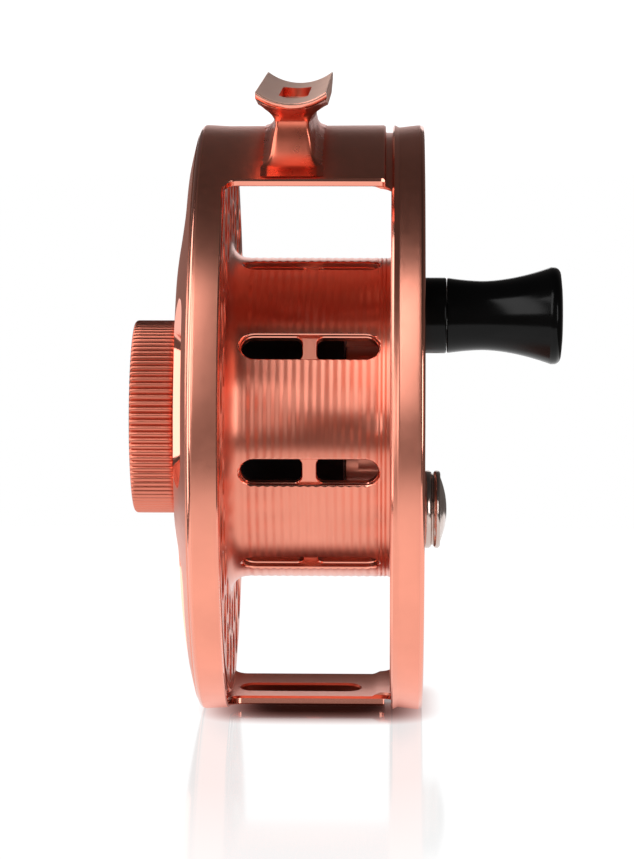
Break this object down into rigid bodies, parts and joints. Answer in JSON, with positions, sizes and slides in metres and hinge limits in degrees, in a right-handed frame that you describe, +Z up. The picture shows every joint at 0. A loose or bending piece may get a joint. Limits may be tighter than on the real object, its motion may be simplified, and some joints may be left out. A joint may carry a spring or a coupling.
{
  "type": "fly reel",
  "caption": "Large-arbor fly reel: ported full frame with rod foot, turned and slotted spool with palming rim, sealed disc drag, flared handle and counterweight.",
  "frame": {"origin": "middle of the foot's saddle line, where the foot meets the rod's reel seat", "axes": "+Z up into the rod, +X along the spindle towards the handle, Y along the rod"},
  "size_m": [0.0788, 0.11, 0.1184],
  "materials": {
    "rose_anodised": "bead-blasted and anodised, satin, with polished chamfers",
    "dark_rose_anodised": "anodised, satin",
    "black_anodised": "black anodised, satin",
    "steel": "turned stainless steel",
    "polished_steel": "polished stainless steel",
    "bearing_steel": "ground",
    "disc_steel": "ground flat",
    "spring_steel": "tempered",
    "carbon": "woven carbon composite",
    "rubber_seal": "matte",
    "brass": "turned",
    "bush_plastic": "matte",
    "gloss_black": "polished gloss black"
  },
  "bodies": {
    "frame_body": {"frame": "rose_anodised", "reel_foot": "rose_anodised", "foot_screws": "steel", "drag_housing": "black_anodised", "housing_screws": "steel", "housing_cover": "black_anodised", "cover_seal": "rubber_seal", "stack_spacer": "steel", "spindle": "steel", "spindle_nut": "steel", "steel_discs": "disc_steel", "knob_screw": "steel", "pawl_pin": "steel", "click_spring": "spring_steel"},
    "spool_body": {"spool": "rose_anodised", "inner_bearing": "bearing_steel", "outer_bearing": "bearing_steel", "carbon_discs": "carbon", "drag_rotor": "steel", "one_way_clutch": "bearing_steel", "drive_hub": "steel", "hub_bearing": "bearing_steel", "click_gear": "brass", "latch_cover": "dark_rose_anodised", "cover_screws": "steel", "handle_collar": "gloss_black", "handle_spindle": "steel", "handle_screw": "steel", "counterweight": "polished_steel", "counterweight_screw": "steel"},
    "latch_body": {"latch_plate": "steel", "latch_spring": "spring_steel"},
    "handle_body": {"handle_knob": "gloss_black", "handle_bushes": "bush_plastic"},
    "drag_push_body": {"push_pins": "steel", "thrust_ring": "steel", "spring_washers": "spring_steel", "pressure_plate": "steel"},
    "drag_nut_body": {"drag_nut": "brass"},
    "knob_body": {"drag_knob": "rose_anodised", "knob_cap": "dark_rose_anodised", "detent_plunger": "steel"},
    "pawl_body": {"click_pawl": "steel"}
  },
  "joints": [
    {"name": "spool_spin", "type": "hinge", "parent": "frame_body", "child": "spool_body", "pos_m": [0, 0, -0.0612], "axis": [1, 0, 0], "continuous": true},
    {"name": "handle_spin", "type": "hinge", "parent": "spool_body", "child": "handle_body", "pos_m": [0.038, -0.03159, -0.03782], "axis": [1, 0, 0], "continuous": true},
    {"name": "latch_press", "type": "slide", "parent": "spool_body", "child": "latch_body", "axis": [0, 1, 0], "range_m": [0, 0.0015], "stiffness_N_per_m": 400, "springref_m": -0.001},
    {"name": "drag_knob_turn", "type": "hinge", "parent": "frame_body", "child": "knob_body", "pos_m": [-0.026, 0, -0.0612], "axis": [1, 0, 0], "range_deg": [0, 330]},
    {"name": "drag_push_slide", "type": "slide", "parent": "frame_body", "child": "drag_push_body", "axis": [1, 0, 0], "range_m": [0, 0.00092]},
    {"name": "drag_nut_turn", "type": "hinge", "parent": "drag_push_body", "child": "drag_nut_body", "pos_m": [-0.0265, 0, -0.0612], "axis": [1, 0, 0], "range_deg": [-1, 331]},
    {"name": "click_pawl_swing", "type": "hinge", "parent": "frame_body", "child": "pawl_body", "pos_m": [-0.0122, 0, -0.0835], "axis": [1, 0, 0], "range_deg": [0, 8], "stiffness_Nm_per_rad": 0.002, "springref_deg": -17.19}
  ],
  "couplings": [
    {"joint": "drag_push_slide", "follows": "drag_knob_turn", "m_per_rad": 0.00015915},
    {"joint": "drag_nut_turn", "follows": "drag_knob_turn", "ratio": 1}
  ]
}
